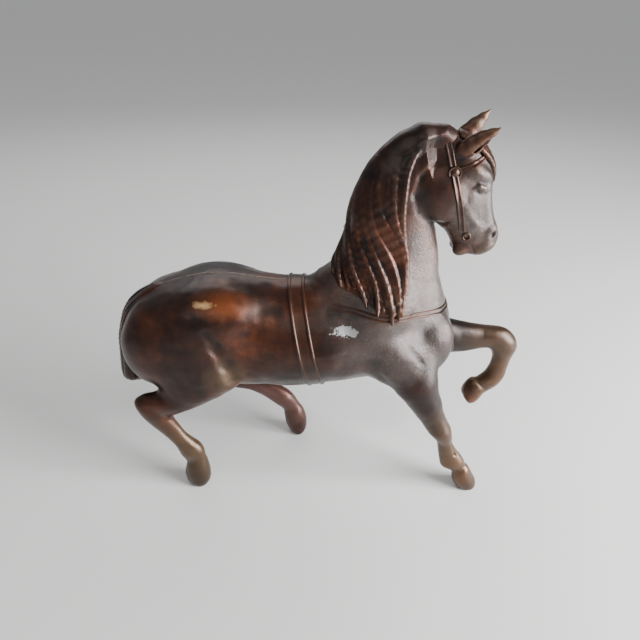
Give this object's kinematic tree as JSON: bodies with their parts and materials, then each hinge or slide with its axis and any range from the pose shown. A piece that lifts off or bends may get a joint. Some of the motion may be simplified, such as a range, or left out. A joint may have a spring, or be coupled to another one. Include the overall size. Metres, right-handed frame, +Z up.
{
  "type": "horse statuette",
  "caption": "Cast horse statuette in a proud walk, with a raised foreleg, a long mane and a bridle and girth.",
  "frame": {"origin": "middle of the overall box's footprint, on the surface that the standing hooves rest on", "axes": "+X to the horse's front, +Y to its left, +Z up"},
  "size_m": [0.3092, 0.0882, 0.2779],
  "materials": {
    "bronze_patina": "glossy",
    "harness_patina": "glossy",
    "solder": "satin",
    "pin_metal": "satin"
  },
  "bodies": {
    "root": {"body_shell_right": "bronze_patina", "body_shell_left": "bronze_patina", "head_shell_right": "bronze_patina", "head_shell_left": "bronze_patina", "foreleg_right_outer": "bronze_patina", "foreleg_right_inner": "bronze_patina", "foreleg_left_outer": "bronze_patina", "foreleg_left_inner": "bronze_patina", "hindleg_right_outer": "bronze_patina", "hindleg_right_inner": "bronze_patina", "hindleg_left_outer": "bronze_patina", "hindleg_left_inner": "bronze_patina", "tail": "bronze_patina", "ear_right": "bronze_patina", "ear_left": "bronze_patina", "mane": "bronze_patina", "forelock": "bronze_patina", "cheek_strap_right": "harness_patina", "cheek_strap_left": "harness_patina", "browband": "harness_patina", "girth_band": "harness_patina", "girth_front_cord": "harness_patina", "girth_rear_cord": "harness_patina", "breast_cord_upper": "harness_patina", "breast_cord_lower": "harness_patina", "rosette_right": "harness_patina", "rosette_left": "harness_patina", "bit_ring_right": "harness_patina", "bit_ring_left": "harness_patina", "spine_seam": "solder", "shell_dowels": "pin_metal", "belly_plug": "pin_metal", "leg_pin_foreleg_right": "pin_metal", "leg_pin_foreleg_left": "pin_metal", "leg_pin_hindleg_right": "pin_metal", "leg_pin_hindleg_left": "pin_metal"}
  },
  "joints": []
}
